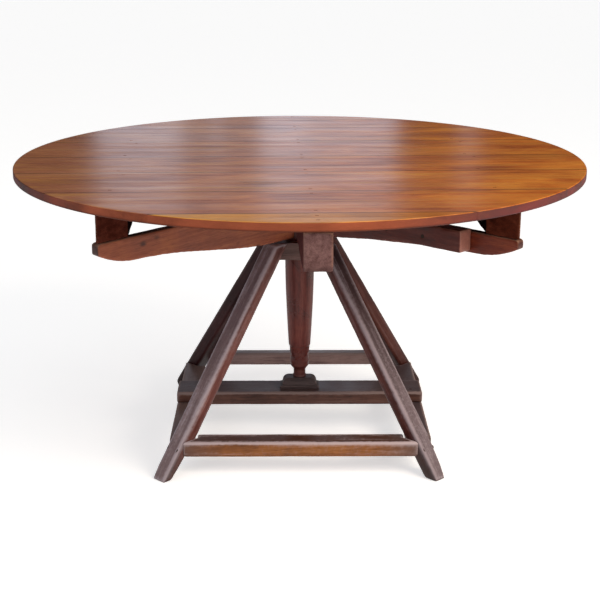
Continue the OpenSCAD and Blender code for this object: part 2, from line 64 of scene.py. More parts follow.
# Camera: the viewing point worked out for a 600 x 600 picture
LENS_MM = 82.21
SENSOR_MM = 36
CAMERA_AT = (-0.0362, -3.6066, 1.4350)
CAMERA_DOWN = radians(16.371)
CAMERA_RIGHT = radians(0.592)
CAMERA_ROLL = radians(0.089)
CAMERA_REACH = 50

# Lamps: name, place, target, width, height, watts and colour
LAMPS = (("key", (2.3, -1.9, 2.4), (0.3, 0, 0.6), 2.4, 2.0, 112, "#fff1e0"),
         ("fill", (-3.2, -3.0, 2.2), (0, 0, 0.4), 2.5, 2.0, 30, "#e6ecff"))
# Strength of the world's diffuse light, and of the paper's own white
FILL = 0.45
PAPER_LIFT = 0.55
FLOOR_SIZE = 60

# A painted card stands this far off on each of four sides
CARD_AT = 3.0
CARD_WIDTH = 6.4
CARD_TOP = 6.0
CARD_HEIGHT = 5.9
# The glowing openings on it, painted light that the top mirrors as its sheen: left edge, right edge and
# brightness, and the softness of their edges
OPENINGS = ((-0.96, -0.54, 0.80), (-0.54, -0.16, 0.28), (-0.40, -0.35, 0.35), (-0.16, 0.06, 1.0),
            (0.06, 0.50, 0.78), (0.80, 0.90, 0.30))
SOFT = 0.05

# The top, from the frame: its planks run 2 degrees off the table's left to right
TOP_TURN = radians(2)
PLANKS = [f"plank_{i}" for i in range(1, 8)]
TOP_Z = cad_high.z
TOP_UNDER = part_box("plank_4")[0].z
TOP_R = (cad_high.x - cad_low.x) / 2


# Materials

def linear(colour):
    """An sRGB hex value as a linear colour."""
    parts = [int(colour[i:i + 2], 16) / 255 for i in (1, 3, 5)]
    return [p / 12.92 if p <= 0.04045 else ((p + 0.055) / 1.055) ** 2.4 for p in parts] + [1]


def add(tree, kind, sockets=None, stops=(), **settings):
    """Adds a node: settings are its properties, and stops fill its ramp.

    sockets gives its inputs a value, another node's output, or a node, which stands for its first output."""
    node = tree.nodes.new("ShaderNode" + kind)
    for name, value in settings.items():
        setattr(node, name, value)
    for name, value in (sockets or {}).items():
        if isinstance(value, bpy.types.Node):
            value = value.outputs[0]
        if isinstance(value, bpy.types.NodeSocket):
            tree.links.new(value, node.inputs[name])
        else:
            node.inputs[name].default_value = value
    if stops:
        ramp = node.color_ramp.elements
        while len(ramp) < len(stops):
            ramp.new(1)
        for element, (place, colour) in zip(ramp, stops):
            element.position = place
            element.color = linear(colour)
    return node


def new_material(name):
    material = bpy.data.materials.new(name)
    material.use_nodes = True
    material.node_tree.nodes.clear()
    return material, material.node_tree


# Sockets of a Mix node for colours
FACTOR, A, B, RESULT = 0, 6, 7, 2
# Places of a timber's dark, middle and light tones on its ramp
TONE_STOPS = (0.0, 0.5, 1.0)
# Dark of the oak's knots and pores, and of its corners, where dirt lies with painted shade; also painted
# shade on the feet's inner sides
DIRT_AND_SHADE = "#1a100e"
# The oak's patterns, in features per metre: streaks of stain 12 mm wide, fibres 1.6 mm wide, patches a hand
# wide, scuffs 13 mm wide, knots 40 mm apart and pits 5 mm apart
OAK = dict(streaks=80, fibres=640, patches=11, scuffs=75, knots=24, pits=190)
# The cherry's: bands 40 mm wide, streaks 14 mm wide, fibres 2 mm wide, patches 110 mm wide and pale ochre
# streaks 17 mm wide
CHERRY = dict(bands=25, streaks=70, fibres=480, patches=9, ochre=60)
# The speckles of rusted iron and of an oak peg's end, both about 1.5 mm wide
RUST = 600
END_GRAIN = 700


def old_timber(name, at, along, tones, seed, gloss=0.45, faces=(), foot=0, rub="#8a7674", rub_from=0.15,
               rub_full=1.0, grime_full=-1.0, pitted=0.0, ends=None, specular=0.25, knots=0.0):
    """Old stained oak, its grain along the given direction: streaks, fibres, dust, worn edges with a painted
    highlight, and dirt with painted shade in corners.

    tones are the dark, middle and light colours of the stain. faces gives other tones to the sides that look
    one way, as (direction, tone near the floor, tone higher up, strength). ends is the tone towards both ends
    of a board, as (tone, distance from its middle where it starts, distance where it is full).
    The wear attribute is in millimetres, above 0 on edges and below 0 in corners. The pale tone rub shows
    from rub_from to rub_full on edges that look up, worn wood and a painted highlight both, and dirt with
    painted shade from -0.1 to grime_full. foot is how pale the timber is worn near the floor, pitted how much
    pale dust its pits hold there, and knots how dark its knots are."""
    material, tree = new_material(name)
    heading = Vector(along).to_track_quat("X", "Z").to_euler()
    place = add(tree, "TexCoord").outputs["Object"]
    board = add(tree, "Mapping", {"Vector": place, "Location": at, "Rotation": heading},
                vector_type="TEXTURE")

    # Streaks and fibres are drawn out along the grain, patches are not
    grain = add(tree, "Mapping", {"Vector": board, "Scale": (0.06, 1, 1), "Location": (seed * 3, seed, 0)})
    streaks = add(tree, "TexNoise", {"Vector": grain, "Scale": OAK["streaks"], "Detail": 5,
                                     "Roughness": 0.6})
    fibres = add(tree, "TexNoise", {"Vector": grain, "Scale": OAK["fibres"], "Detail": 3,
                                    "Roughness": 0.6})
    clouds = add(tree, "Mapping", {"Vector": board, "Location": (seed, seed * 2, 0)})
    patches = add(tree, "TexNoise", {"Vector": clouds, "Scale": OAK["patches"], "Detail": 4,
                                     "Roughness": 0.6, "Distortion": 0.4})
    figure = 0.0
    for layer, weight in ((streaks, 0.70), (fibres, 0.22), (patches, 0.45)):
        figure = add(tree, "Math", {0: layer, 1: weight, 2: figure}, operation="MULTIPLY_ADD")
    figure = add(tree, "MapRange", {"Value": figure, "From Min": 0.42, "From Max": 0.95})
    colour = add(tree, "ValToRGB", {"Fac": figure}, stops=tuple(zip(TONE_STOPS, tones)))

    # Sides that look another way, lighter or darker in the same figure: weathered on some, painted shade on
    # others
    scuffs = add(tree, "TexNoise", {"Vector": board, "Scale": OAK["scuffs"], "Detail": 5, "Roughness": 0.7})
    looks = add(tree, "NewGeometry").outputs["Normal"]
    height = add(tree, "SeparateXYZ", {0: place}).outputs["Z"]
    raised = add(tree, "Math", {0: scuffs, 1: 0.25, 2: height}, operation="MULTIPLY_ADD")
    raised = add(tree, "MapRange", {"Value": raised, "From Min": 0.30, "From Max": 0.58})
    facing = 1.0
    for direction, low_tone, high_tone, strength in faces:
        facing = add(tree, "VectorMath", {0: looks, 1: direction}, operation="DOT_PRODUCT").outputs["Value"]
        facing = add(tree, "MapRange", {"Value": facing, "From Min": 0.45, "From Max": 0.80,
                                        "To Max": strength})
        spread = add(tree, "MapRange", {"Value": figure, "To Min": 0.75, "To Max": 1.25})
        toned = add(tree, "Mix", {FACTOR: raised, A: linear(low_tone), B: linear(high_tone)},
                    data_type="RGBA").outputs[RESULT]
        toned = add(tree, "VectorMath", {0: toned, "Scale": spread}, operation="SCALE")
        colour = add(tree, "Mix", {FACTOR: facing, A: colour, B: toned}, data_type="RGBA").outputs[RESULT]

    # What lies over the stain, from the first coat to the last, as how much of it shows and its tone
    coats = []
    if ends:
        tone, start, full = ends
        off = add(tree, "SeparateXYZ", {0: board}).outputs["X"]
        off = add(tree, "Math", {0: off}, operation="ABSOLUTE")
        off = add(tree, "Math", {0: streaks, 1: 0.1, 2: off}, operation="MULTIPLY_ADD")
        off = add(tree, "MapRange", {"Value": off, "From Min": start + 0.05, "From Max": full + 0.05,
                                     "To Max": 0.85})
        coats.append((off, tone))

    # Small knots, open pores, and pits that hold pale dust
    knot = add(tree, "Mapping", {"Vector": board, "Scale": (0.6, 1, 1), "Location": (seed, seed, 0)})
    knot = add(tree, "TexVoronoi", {"Vector": knot, "Scale": OAK["knots"]}).outputs["Distance"]
    knot = add(tree, "MapRange", {"Value": knot, "From Min": 0.20, "From Max": 0.06, "To Max": knots})
    pores = add(tree, "MapRange", {"Value": fibres, "From Min": 0.42, "From Max": 0.30, "To Max": 0.4})
    pits = add(tree, "TexNoise", {"Vector": board, "Scale": OAK["pits"], "Detail": 4, "Roughness": 0.7})
    pits = add(tree, "MapRange", {"Value": pits, "From Min": 0.52, "From Max": 0.62, "To Max": pitted})
    pits = add(tree, "Math", {0: pits, 1: facing}, operation="MULTIPLY")
    low_down = add(tree, "Math", {0: 1.0, 1: raised}, operation="SUBTRACT")
    pits = add(tree, "Math", {0: pits, 1: low_down}, operation="MULTIPLY")
    coats += [(knot, DIRT_AND_SHADE), (pores, DIRT_AND_SHADE), (pits, rub)]

    # Rubbed edges and feet show pale grey wood through the stain, on edges that look up also a painted
    # highlight; corners hold dirt and painted shade
    worn = add(tree, "Attribute", attribute_name="wear").outputs["Fac"]
    mottle = add(tree, "Math", {0: streaks, 1: 1.4, 2: -0.95}, operation="MULTIPLY_ADD")
    mottle = add(tree, "Math", {0: scuffs, 1: 0.5, 2: mottle}, operation="MULTIPLY_ADD")
    level = add(tree, "Math", {0: worn, 1: mottle}, operation="ADD")
    rubbed = add(tree, "MapRange", {"Value": level, "From Min": rub_from, "From Max": rub_full,
                                    "To Max": 0.85}, interpolation_type="SMOOTHSTEP")
    # Only edges that look up take the pale tone: there it is worn wood and a painted highlight both
    above = add(tree, "SeparateXYZ", {0: looks}).outputs["Z"]
    above = add(tree, "MapRange", {"Value": above, "From Min": -0.15, "From Max": 0.25})
    rubbed = add(tree, "Math", {0: rubbed, 1: above}, operation="MULTIPLY")
    kicked = add(tree, "MapRange", {"Value": height, "From Min": 0.22, "From Max": 0.03, "To Max": foot})
    for share in (scuffs, facing):
        kicked = add(tree, "Math", {0: kicked, 1: share}, operation="MULTIPLY")
    bare = add(tree, "Math", {0: rubbed, 1: kicked}, operation="MAXIMUM")
    # Corners and grooves darken: dirt and painted shade
    grime = add(tree, "MapRange", {"Value": worn, "From Min": -0.1, "From Max": grime_full, "To Max": 0.85})
    coats += [(bare, rub), (grime, DIRT_AND_SHADE)]

    # Painted shade on the inner sides of the feet, low down
    if foot:
        inner = add(tree, "Math", {0: 1.0, 1: facing}, operation="SUBTRACT")
        foot_shade = add(tree, "MapRange", {"Value": height, "From Min": 0.16, "From Max": 0.03, "To Max": 0.7})
        foot_shade = add(tree, "Math", {0: foot_shade, 1: inner}, operation="MULTIPLY")
        coats.append((foot_shade, DIRT_AND_SHADE))
    for share, tone in coats:
        colour = add(tree, "Mix", {FACTOR: share, A: colour, B: linear(tone)},
                     data_type="RGBA").outputs[RESULT]

    shine = add(tree, "MapRange", {"Value": patches, "From Min": 0.3, "From Max": 0.7,
                                   "To Min": gloss - 0.07, "To Max": gloss + 0.10})
    rough = add(tree, "Math", {0: bare, 1: 0.25, 2: shine}, operation="MULTIPLY_ADD")
    relief = add(tree, "Math", {0: streaks, 1: 0.6, 2: fibres}, operation="MULTIPLY_ADD")
    relief = add(tree, "Math", {0: scuffs, 1: 0.8, 2: relief}, operation="MULTIPLY_ADD")
    bump = add(tree, "Bump", {"Height": relief, "Strength": 0.3, "Distance": 0.6 * MM})
    oak = add(tree, "BsdfPrincipled", {"Base Color": colour, "Roughness": rough, "Normal": bump, "IOR": 1.5,
                                       "Specular IOR Level": specular})
    add(tree, "OutputMaterial", {"Surface": oak})
    return material


# The stain of the top's rim, the dirt in its pores and joints, and its lighter streaks
RIM_STAIN = "#904a31"
PORE_DIRT = "#2a120a"
JOINT_DIRT = "#2c140d"
OCHRE = "#cc9440"


def waxed_plank(name, at, half_width, left_tones, right_tones, seed):
    """Cherry under many coats of wax: a shiny film over warm wood that turns more orange to the right, and
    brighter there with painted light.
    """
    material, tree = new_material(name)
    place = add(tree, "TexCoord").outputs["Object"]
    board = add(tree, "Mapping", {"Vector": place, "Location": at, "Rotation": (0, 0, TOP_TURN)},
                vector_type="TEXTURE")

    # Broad bands, streaks and fibres are drawn out along the plank, patches less so
    bands = add(tree, "Mapping", {"Vector": board, "Scale": (0.03, 1, 1), "Location": (seed, seed, 0)})
    bands = add(tree, "TexNoise", {"Vector": bands, "Scale": CHERRY["bands"], "Detail": 4, "Roughness": 0.5,
                                   "Distortion": 0.2})
    grain = add(tree, "Mapping", {"Vector": board, "Scale": (0.08, 1, 1), "Location": (seed * 3, seed, 0)})
    streaks = add(tree, "TexNoise", {"Vector": grain, "Scale": CHERRY["streaks"], "Detail": 6,
                                     "Roughness": 0.6})
    fibres = add(tree, "TexNoise", {"Vector": grain, "Scale": CHERRY["fibres"], "Detail": 3,
                                    "Roughness": 0.6})
    clouds = add(tree, "Mapping", {"Vector": board, "Scale": (0.4, 1, 1), "Location": (seed, seed * 2, 0)})
    patches = add(tree, "TexNoise", {"Vector": clouds, "Scale": CHERRY["patches"], "Detail": 4,
                                     "Roughness": 0.55, "Distortion": 0.6})
    figure = 0.0
    for layer, weight in ((bands, 0.45), (streaks, 0.42), (fibres, 0.24), (patches, 0.80)):
        figure = add(tree, "Math", {0: layer, 1: weight, 2: figure}, operation="MULTIPLY_ADD")
    figure = add(tree, "MapRange", {"Value": figure, "From Min": 0.72, "From Max": 1.20})
    left, right = [add(tree, "ValToRGB", {"Fac": figure}, stops=tuple(zip(TONE_STOPS, tones)))
                   for tones in (left_tones, right_tones)]
    spot = add(tree, "SeparateXYZ", {0: board}).outputs
    # Towards the right the wood turns more orange, and brighter with painted light
    warmth = add(tree, "Math", {0: patches, 1: 0.5, 2: spot["X"]}, operation="MULTIPLY_ADD")
    warmth = add(tree, "MapRange", {"Value": warmth, "From Min": -0.1, "From Max": 0.75})
    colour = add(tree, "Mix", {FACTOR: warmth, A: left, B: right}, data_type="RGBA").outputs[RESULT]
    ochre = add(tree, "Mapping", {"Vector": board, "Scale": (0.04, 1, 1), "Location": (seed, seed * 5, 0)})
    ochre = add(tree, "TexNoise", {"Vector": ochre, "Scale": CHERRY["ochre"], "Detail": 4, "Roughness": 0.6})
    ochre = add(tree, "MapRange", {"Value": ochre, "From Min": 0.52, "From Max": 0.66, "To Max": 0.6})
    pores = add(tree, "MapRange", {"Value": fibres, "From Min": 0.40, "From Max": 0.30, "To Max": 0.35})

    # Grime along the joints
    off = add(tree, "Math", {0: spot["Y"]}, operation="ABSOLUTE")
    joint = add(tree, "MapRange", {"Value": off, "From Min": half_width - 5 * MM,
                                   "From Max": half_width - MM, "To Max": 0.75})

    # A rim of its own stain, darker at its foot with painted shade, and darker and greyer towards the left
    # and right
    upwards = add(tree, "SeparateXYZ", {0: add(tree, "NewGeometry").outputs["Normal"]}).outputs["Z"]
    edge = add(tree, "MapRange", {"Value": upwards, "From Min": 0.75, "From Max": 0.45})
    spread = add(tree, "MapRange", {"Value": figure, "To Min": 0.6, "To Max": 1.4})
    # Painted shade along the foot of the rim
    foot = add(tree, "MapRange", {"Value": spot["Z"], "From Min": (TOP_UNDER - TOP_Z) + 2 * MM,
                                  "From Max": (TOP_UNDER - TOP_Z) + 6 * MM, "To Min": 0.45})
    stain = linear(RIM_STAIN)[:3]
    for strength in (spread, foot):
        stain = add(tree, "VectorMath", {0: stain, "Scale": strength}, operation="SCALE")
    right_end, left_end = [add(tree, "MapRange", {"Value": spot["X"], "From Min": start, "From Max": full,
                                                  "To Max": 0.85})
                           for start, full in ((0.12, 0.42), (-0.50, -0.70))]
    darker_ends = add(tree, "Math", {0: right_end, 1: left_end}, operation="MAXIMUM")
    end_tone = add(tree, "MapRange", {"Value": patches, "From Min": 0.35, "From Max": 0.65, "To Min": 0.03,
                                  "To Max": 0.12})
    end_tone = add(tree, "CombineColor", {"Red": end_tone, "Green": 0.028, "Blue": 0.032})
    stain = add(tree, "Mix", {FACTOR: darker_ends, A: stain, B: end_tone}, data_type="RGBA").outputs[RESULT]
    for share, tone in ((ochre, linear(OCHRE)), (pores, linear(PORE_DIRT)), (joint, linear(JOINT_DIRT)),
                        (edge, stain)):
        colour = add(tree, "Mix", {FACTOR: share, A: colour, B: tone}, data_type="RGBA").outputs[RESULT]

    # Wax lies thicker on some bands than on others, and the rim has none
    shine = add(tree, "MapRange", {"Value": streaks, "From Min": 0.3, "From Max": 0.7, "To Min": 0.27,
                                   "To Max": 0.40})
    shine = add(tree, "Math", {0: edge, 1: 0.2, 2: shine}, operation="MULTIPLY_ADD")
    waxed = add(tree, "Math", {0: bands, 1: 0.8, 2: streaks}, operation="MULTIPLY_ADD")
    waxed = add(tree, "MapRange", {"Value": waxed, "From Min": 0.74, "From Max": 1.04, "To Min": 0.2,
                                   "To Max": 1.0})
    not_edge = add(tree, "Math", {0: 1.0, 1: edge}, operation="SUBTRACT")
    waxed = add(tree, "Math", {0: waxed, 1: not_edge}, operation="MULTIPLY")
    relief = add(tree, "Math", {0: streaks, 1: bands, 2: fibres}, operation="MULTIPLY_ADD")
    planed = add(tree, "Bump", {"Height": bands, "Strength": 1.0, "Distance": 1.2 * MM})
    bump = add(tree, "Bump", {"Height": relief, "Strength": 0.16, "Distance": 0.4 * MM, "Normal": planed})
    specular = add(tree, "MapRange", {"Value": edge, "To Min": 0.5, "To Max": 0.12})
    cherry = add(tree, "BsdfPrincipled", {"Base Color": colour, "Roughness": shine, "Normal": bump,
                                          "IOR": 1.5, "Specular IOR Level": specular, "Coat Weight": waxed,
                                          "Coat Roughness": 0.22, "Coat IOR": 1.5})
    add(tree, "OutputMaterial", {"Surface": cherry})
    return material


def speckled(name, speckle_scale, stops, bump_strength, metallic=0.0):
    """Dull surface with speckles a millimetre or two across."""
    material, tree = new_material(name)
    place = add(tree, "TexCoord").outputs["Object"]
    speckles = add(tree, "TexNoise", {"Vector": place, "Scale": speckle_scale, "Detail": 4})
    colour = add(tree, "ValToRGB", {"Fac": speckles}, stops=stops)
    bump = add(tree, "Bump", {"Height": speckles, "Strength": bump_strength, "Distance": 0.3 * MM})
    surface = add(tree, "BsdfPrincipled", {"Base Color": colour, "Metallic": metallic, "Roughness": 0.6,
                                           "Normal": bump})
    add(tree, "OutputMaterial", {"Surface": surface})
    return material


def wrought_iron():
    """Hammered nail iron, rusted brown and dull."""
    return speckled("wrought_iron_rusted", RUST, ((0.35, "#1b1512"), (0.6, "#3b2418")), 0.4, metallic=0.6)


def end_grain():
    """Sawn end of an oak peg: dark rings, open pores."""
    return speckled("oak_peg_end_grain", END_GRAIN, ((0.35, "#1e1210"), (0.65, "#4a2f22")), 0.5)


def seen_plainly(tree):
    """1 for rays from the camera, off a shiny surface or through glass, 0 for the rest."""
    ray = add(tree, "LightPath").outputs
    seen = add(tree, "Math", {0: ray["Is Camera Ray"], 1: ray["Is Glossy Ray"]}, operation="MAXIMUM")
    return add(tree, "Math", {0: seen, 1: ray["Is Transmission Ray"]}, operation="MAXIMUM")


def studio_floor():
    """Pale seamless paper: matt, and white to the camera where nothing shades it."""
    material, tree = new_material("seamless_paper")
    paper = add(tree, "BsdfPrincipled", {"Base Color": linear("#ededed"), "Roughness": 0.9,
                                         "Specular IOR Level": 0.1})
    lift = add(tree, "Math", {0: seen_plainly(tree), 1: PAPER_LIFT}, operation="MULTIPLY")
    glow = add(tree, "Emission", {"Color": (1, 1, 1, 1), "Strength": lift})
    both = add(tree, "AddShader", {0: paper, 1: glow})
    add(tree, "OutputMaterial", {"Surface": both})
    return material


def painted_card():
    """Card seen in reflections only: a glowing dark yard with pale openings that fade upwards, painted light
    for the waxed top's sheen.
    """
    material, tree = new_material("painted_card")
    spot = add(tree, "SeparateXYZ", {0: add(tree, "TexCoord").outputs["Object"]}).outputs
    level = 0
    for left, right, brightness in OPENINGS:
        rise = add(tree, "MapRange", {"Value": spot["X"], "From Min": left - SOFT, "From Max": left + SOFT,
                                      "To Max": brightness}, interpolation_type="SMOOTHSTEP")
        fall = add(tree, "MapRange", {"Value": spot["X"], "From Min": right + SOFT,
                                      "From Max": right - SOFT}, interpolation_type="SMOOTHSTEP")
        level = add(tree, "Math", {0: rise, 1: fall, 2: level}, operation="MULTIPLY_ADD")
    fade = add(tree, "MapRange", {"Value": spot["Z"], "From Min": 1.25, "From Max": 1.85, "To Min": 1.0,
                                  "To Max": 0.15}, interpolation_type="SMOOTHSTEP")
    level = add(tree, "Math", {0: level, 1: fade}, operation="MULTIPLY")
    colour = add(tree, "Mix", {FACTOR: level, A: linear("#3a2a20"), B: linear("#e4e9fa")},
                 data_type="RGBA").outputs[RESULT]
    glow = add(tree, "Emission", {"Color": colour, "Strength": 1.1})
    add(tree, "OutputMaterial", {"Surface": glow})
    return material


# Tools for the pieces

# Vertices closer than this are merged, in a copy of a CAD node and where a flat is cut
MERGE_MM = 0.02
CUT_MERGE_MM = 0.001
PLUG_SWELL_MM = 0.4


def hold(piece):
    """Selects one piece and makes it active."""
    bpy.ops.object.select_all(action="DESELECT")
    piece.select_set(True)
    bpy.context.view_layer.objects.active = piece


@contextmanager
def editing(piece, action="SELECT"):
    """Edit mode on one piece, with all of it selected, or none."""
    hold(piece)
    bpy.ops.object.mode_set(mode="EDIT")
    bpy.ops.mesh.select_all(action=action)
    yield
    bpy.ops.object.mode_set(mode="OBJECT")


def put_on(piece, kind, **settings):
    """Adds a modifier to a piece and applies it."""
    hold(piece)
    modifier = piece.modifiers.new(kind.lower(), kind)
    for name, value in settings.items():
        setattr(modifier, name, value)
    bpy.ops.object.modifier_apply(modifier=modifier.name)


def twin(thing):
    """A second object with its own mesh."""
    copy = thing.copy()
    copy.data = thing.data.copy()
    bpy.context.collection.objects.link(copy)
    return copy


def copy_of(node):
    """A merged copy of a CAD node, free of its body."""
    piece = twin(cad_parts[node])
    piece.parent = None
    piece.matrix_world = Matrix()
    piece.hide_render = piece.hide_viewport = False
    piece.data.materials.clear()
    with editing(piece):
        bpy.ops.mesh.remove_doubles(threshold=MERGE_MM * MM)
    return piece


def places(piece):
    """The piece's vertices, one row each."""
    found = np.empty(3 * len(piece.data.vertices))
    piece.data.vertices.foreach_get("co", found)
    return found.reshape(-1, 3)


def islands(mesh):
    """The separate shells of an edit mesh, as lists of vertices."""
    left = set(mesh.verts)
    shells = []
    while left:
        shell = [left.pop()]
        for v in shell:
            for edge in v.link_edges:
                other = edge.other_vert(v)
                if other in left:
                    left.remove(other)
                    shell.append(other)
        shells.append(shell)
    return shells


def plug(piece, pegs):
    """Fills a timber's peg holes with slightly fattened copies of the pegs that stand in it."""
    low, high = places(piece).min(axis=0), places(piece).max(axis=0)
    for node in pegs:
        plugs = copy_of(node)
        with editing(plugs, "DESELECT"):
            mesh = bmesh.from_edit_mesh(plugs.data)
            for peg in islands(mesh):
                middle = sum((v.co for v in peg), Vector()) / len(peg)
                if not all(low[k] < middle[k] < high[k] for k in range(3)):
                    for v in peg:
                        v.select_set(True)
            mesh.select_flush(True)
            bpy.ops.mesh.delete(type="VERT")
            bpy.ops.mesh.select_all(action="SELECT")
            bpy.ops.transform.shrink_fatten(value=PLUG_SWELL_MM * MM)
        if plugs.data.vertices:
            hold(piece)
            plugs.select_set(True)
            bpy.ops.object.join()
        else:
            bpy.data.objects.remove(plugs)


def cut_back(piece, cuts):
    """Cuts away what lies beyond each plane, given by a point and the direction that it faces."""
    with editing(piece):
        for point, facing in cuts:
            bpy.ops.mesh.select_all(action="SELECT")
            bpy.ops.mesh.bisect(plane_co=point, plane_no=facing, use_fill=True, clear_outer=True,
                                threshold=CUT_MERGE_MM * MM)


def mark_wear(piece, reach):
    """Stores in millimetres how far strong smoothing draws each vertex in: edges above 0, corners below."""
    probe = twin(piece)
    put_on(probe, "SMOOTH", factor=0.5, iterations=reach)
    normals = np.empty(3 * len(piece.data.vertices))
    piece.data.vertices.foreach_get("normal", normals)
    drawn_in = ((places(piece) - places(probe)) * normals.reshape(-1, 3)).sum(axis=1) / MM
    bpy.data.objects.remove(probe)
    wear = piece.data.attributes.new("wear", "FLOAT", "POINT")
    wear.data.foreach_set("value", drawn_in)


def cloud(name, size_mm, depth):
    texture = bpy.data.textures.new(name, "CLOUDS")
    texture.noise_scale = size_mm * MM
    texture.noise_depth = depth
    return texture


# Hewn faces wave every 70 mm or so, and nicks are about 9 mm wide
hewn = cloud("hewn", 70, 2)
nicked = cloud("nicked", 9, 3)

# How high a leg's toe is rounded, how often it is smoothed, and how far wear has shortened it
TOE_MM = 30
TOE_ROUNDS = 60
TOE_WEAR_MM = 1.5


def round_toe(piece):
    """Wears the foot of a leg round, and lets it down again onto the floor."""
    toe = piece.vertex_groups.new(name="toe")
    heights = places(piece)[:, 2] - cad_low.z
    for i in np.flatnonzero(heights < TOE_MM * MM):
        toe.add([int(i)], 1 - float(heights[i]) / (TOE_MM * MM), "REPLACE")
    put_on(piece, "SMOOTH", factor=0.5, iterations=TOE_ROUNDS, vertex_group="toe")
    lifted = places(piece)[:, 2].min() - cad_low.z
    put_on(piece, "DISPLACE", direction="Z", mid_level=0, strength=-(lifted + TOE_WEAR_MM * MM),
           vertex_group="toe")


def dress(piece, body, material, node):
    """Puts a finished piece on its body in place of its CAD node."""
    piece.data.materials.clear()
    piece.data.materials.append(material)
    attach(piece, body)
    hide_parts(node)


def worn_copy(node, body, material, voxel_mm=2.6, rounding=6, hewn_mm=0.9, nicked_mm=0.5, level=0.5,
              cuts=(), pegs=(), toe=False, reach=24):
    """A CAD timber as age has left it: soft edges, uneven faces, small nicks, and flats cut by wear.

    With level at 1 it never grows past the CAD solid, for the bearings; at 0.5 its faces stay in place.
    reach is how many rounds of smoothing tell an edge from a corner, more for a bigger shape."""
    piece = copy_of(node)
    piece.name = "worn_" + node
    plug(piece, pegs)
    put_on(piece, "REMESH", mode="VOXEL", voxel_size=voxel_mm * MM, adaptivity=0)
    cut_back(piece, cuts)
    put_on(piece, "SMOOTH", factor=0.5, iterations=rounding)
    if toe:
        round_toe(piece)
    for texture, depth_mm in ((hewn, hewn_mm), (nicked, nicked_mm)):
        if depth_mm:
            put_on(piece, "DISPLACE", texture=texture, texture_coords="LOCAL", strength=depth_mm * MM,
                   mid_level=level)
    cut_back(piece, [((0, 0, cad_low.z), (0, 0, -1))])
    mark_wear(piece, reach)
    hold(piece)
    bpy.ops.object.shade_smooth()
    dress(piece, body, material, node)


def middle_of(node):
    low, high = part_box(node)
    return (low + high) / 2


def finish_nodes(material, *nodes):
    """Gives CAD nodes that stay in view their material."""
    for node in nodes:
        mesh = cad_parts[node].data
        mesh.materials.clear()
        mesh.materials.append(material)


# Stand

LENGTHWAYS = (1, 0, 0)
ACROSS = (0, 1, 0)
UP = (0, 0, 1)
# A leg is this far from the middle at the floor and at the top of the head block, which is this high
LEG_FOOT_R = 0.521
LEG_HEAD_R = 0.113
HEAD_TOP = 0.553
LEG_LEAN = atan2(LEG_FOOT_R - LEG_HEAD_R, HEAD_TOP)
# How far from the middle the tips of the toes are cut off, and how steeply the cut slopes inwards
TOE_REACH = 0.538
TOE_SLOPE = -0.3
LEG_ANGLES = {"leg_front_left": 225, "leg_front_right": 315, "leg_back_right": 45, "leg_back_left": 135}
# Flats that wear has cut on the two front feet, as a point and the direction that each flat faces
LEG_WEAR = {"leg_front_left": [((-0.249, -0.284, 0.130), (1, 0, -0.64))],
            "leg_front_right": [((0.313, -0.278, 0.140), (1, 0, 0.437))]}
# Stain of each leg: dark, middle and light, then the low tone, high tone and strength of its weathered outer
# face, and the pale tone of its worn edges, also a painted highlight. The stains are lit and shaded copies:
# painted shade darkens the front right and back legs, and the front right leg's outer face higher up, under
# the top
LEG_TONES = {"leg_front_left": (("#401b19", "#74423b", "#966055"), ("#7c6867", "#7a6567", 0.9), "#b4a6ab"),
             "leg_front_right": (("#240d0b", "#502119", "#71392f"), ("#6a5d60", "#433233", 0.9), "#a09297"),
             "leg_back_right": (("#2c1310", "#502822", "#69423a"), ("#463331", "#482a27", 0.7), "#6f5f60"),
             "leg_back_left": (("#1c0b0c", "#361a1b", "#502f2e"), ("#382224", "#382224", 0.7), "#6f5f60")}
# The legs' pale edge tone, where it shows: worn wood and a painted highlight
FRONT_LEG_RUB_AND_HIGHLIGHT = dict(rub_from=-0.08, rub_full=0.68, specular=0.25)
BACK_LEG_RUB_AND_HIGHLIGHT = dict(rub_from=0.0, rub_full=0.8, specular=0.08)
# Each stretcher: its grain's direction, its three tones, and the tone and strength of its top face
RAIL_TONES = {"stretcher_front": (LENGTHWAYS, ("#452410", "#86522a", "#a86e3c"), "#43220f", 0.9),
              "stretcher_back": (LENGTHWAYS, ("#553f3d", "#8a716d", "#a08985"), "#867e80", 0.8),
              "stretcher_left": (ACROSS, ("#402823", "#6b514a", "#846961"), "#6d5c58", 0.7),
              "stretcher_right": (ACROSS, ("#2c1c1a", "#4c3a38", "#655250"), "#50464a", 0.7),
              "stretcher_middle": (LENGTHWAYS, ("#311d1a", "#5c3e35", "#75554b"), "#4b3f3f", 0.85)}
# The rails' pale edge tone, where it shows: worn wood and a painted highlight
FRONT_RAIL_RUB_AND_HIGHLIGHT = dict(rub="#c2b1b3", rub_from=-0.05, ends=("#5a4744", 0.19, 0.30))
RAIL_RUB_AND_HIGHLIGHT = dict(rub="#857370", rub_from=0.2)
HEAD_TONES = ("#3a2824", "#664b45", "#82635c")
BOSS_TONES = ("#2e2221", "#4b3e3e", "#655554")
# A paler grey on the pivot boss's upward face
BOSS_TOP_TONE = "#524a4a"


